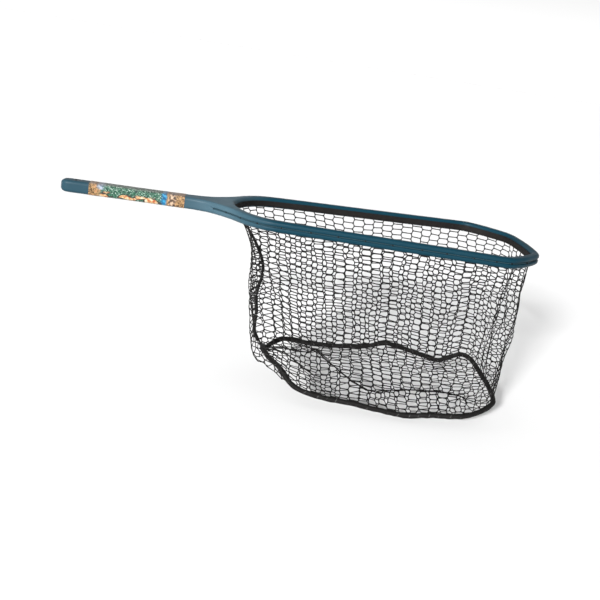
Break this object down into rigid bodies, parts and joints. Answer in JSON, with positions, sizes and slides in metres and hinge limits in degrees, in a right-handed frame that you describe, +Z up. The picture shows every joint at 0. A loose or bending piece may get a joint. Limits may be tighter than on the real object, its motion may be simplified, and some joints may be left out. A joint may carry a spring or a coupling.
{
  "type": "landing net",
  "caption": "Fishing landing net with a moulded racket-shaped hoop and handle, and a deep soft rubber mesh bag that lifts and folds.",
  "frame": {"origin": "centre of the lanyard hole in the handle's butt, at mid height of the moulding", "axes": "+X along the handle towards the hoop's tip, +Z up out of the bag's mouth, the hoop lies in the XY plane"},
  "size_m": [0.8115, 0.2816, 0.3132],
  "materials": {
    "painted_moulding": "satin teal blue lacquer over composite",
    "printed_film": "satin film with a mottled tan and green print",
    "rubber": "matt black moulded rubber",
    "cord": "braided dark cord",
    "foam": "closed cell foam",
    "sleeve": "plain moulded plastic"
  },
  "bodies": {
    "frame": {"upper_frame_shell": "painted_moulding", "lower_frame_shell": "painted_moulding", "handle_core": "foam", "hoop_core": "foam", "lanyard_sleeve": "sleeve", "grip_film": "printed_film", "lacing_cord": "cord", "lacing_knot_near": "cord", "lacing_knot_far": "cord", "rim_band": "rubber", "bag_wall": "rubber", "throat_seam": "rubber"},
    "bag_base": {"bag_floor": "rubber", "floor_seam": "rubber"}
  },
  "joints": [
    {"name": "bag_lift", "type": "slide", "parent": "frame", "child": "bag_base", "axis": [0, 0, 1], "range_m": [0, 0.11], "deforming": ["bag_wall", "throat_seam"]}
  ]
}
